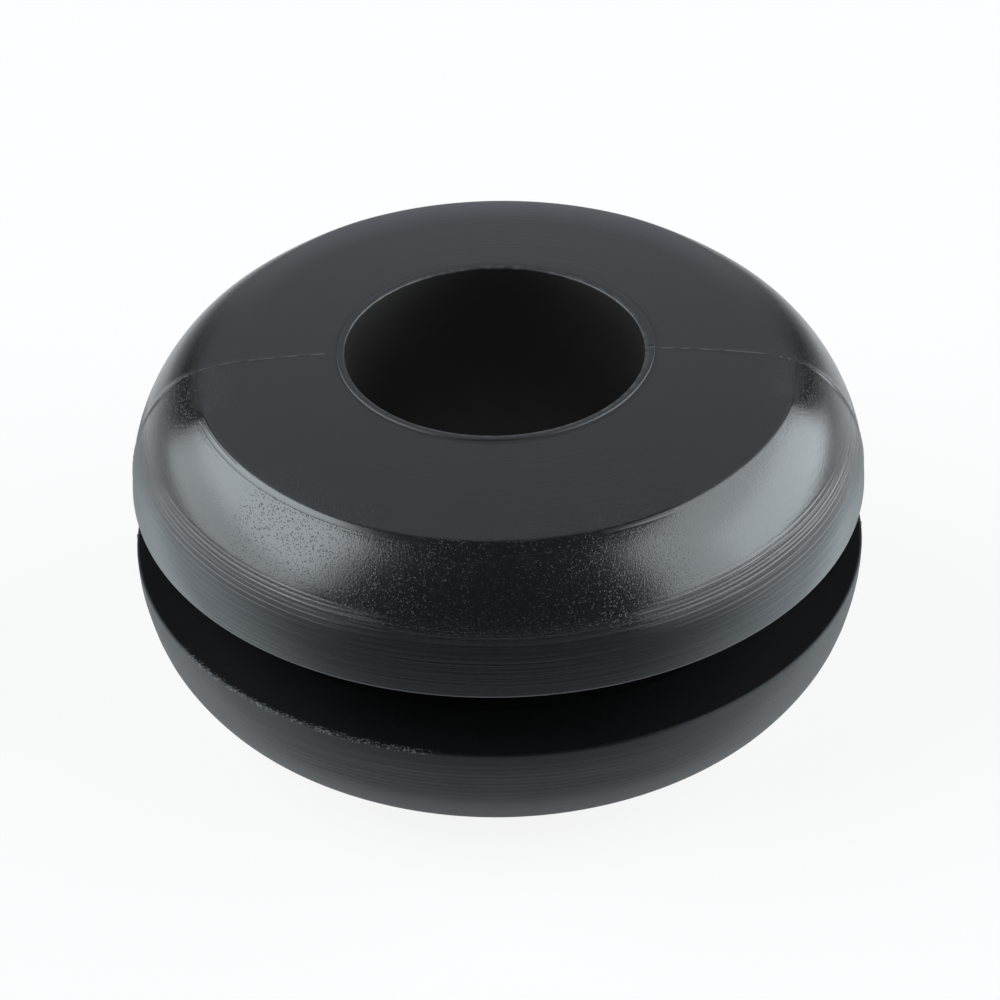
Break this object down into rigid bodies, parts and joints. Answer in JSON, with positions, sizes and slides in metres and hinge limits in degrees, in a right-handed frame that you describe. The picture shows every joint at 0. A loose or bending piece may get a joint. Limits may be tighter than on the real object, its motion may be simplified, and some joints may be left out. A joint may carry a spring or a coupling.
{
  "type": "rubber cable grommet",
  "caption": "Round moulded rubber grommet with two domed flanges, a panel groove between them and a plain through bore for a cable.",
  "frame": {"origin": "on the bore's axis at the middle of the panel groove, which is also the middle of the height", "axes": "+Z along the bore, out of the face that the picture shows; X along the mould's parting line"},
  "size_m": [0.02, 0.02, 0.01],
  "materials": {
    "grommet_rubber": "satin moulded black rubber, fine-grained on the shoulders"
  },
  "bodies": {
    "root": {"grommet": "grommet_rubber"}
  },
  "joints": []
}
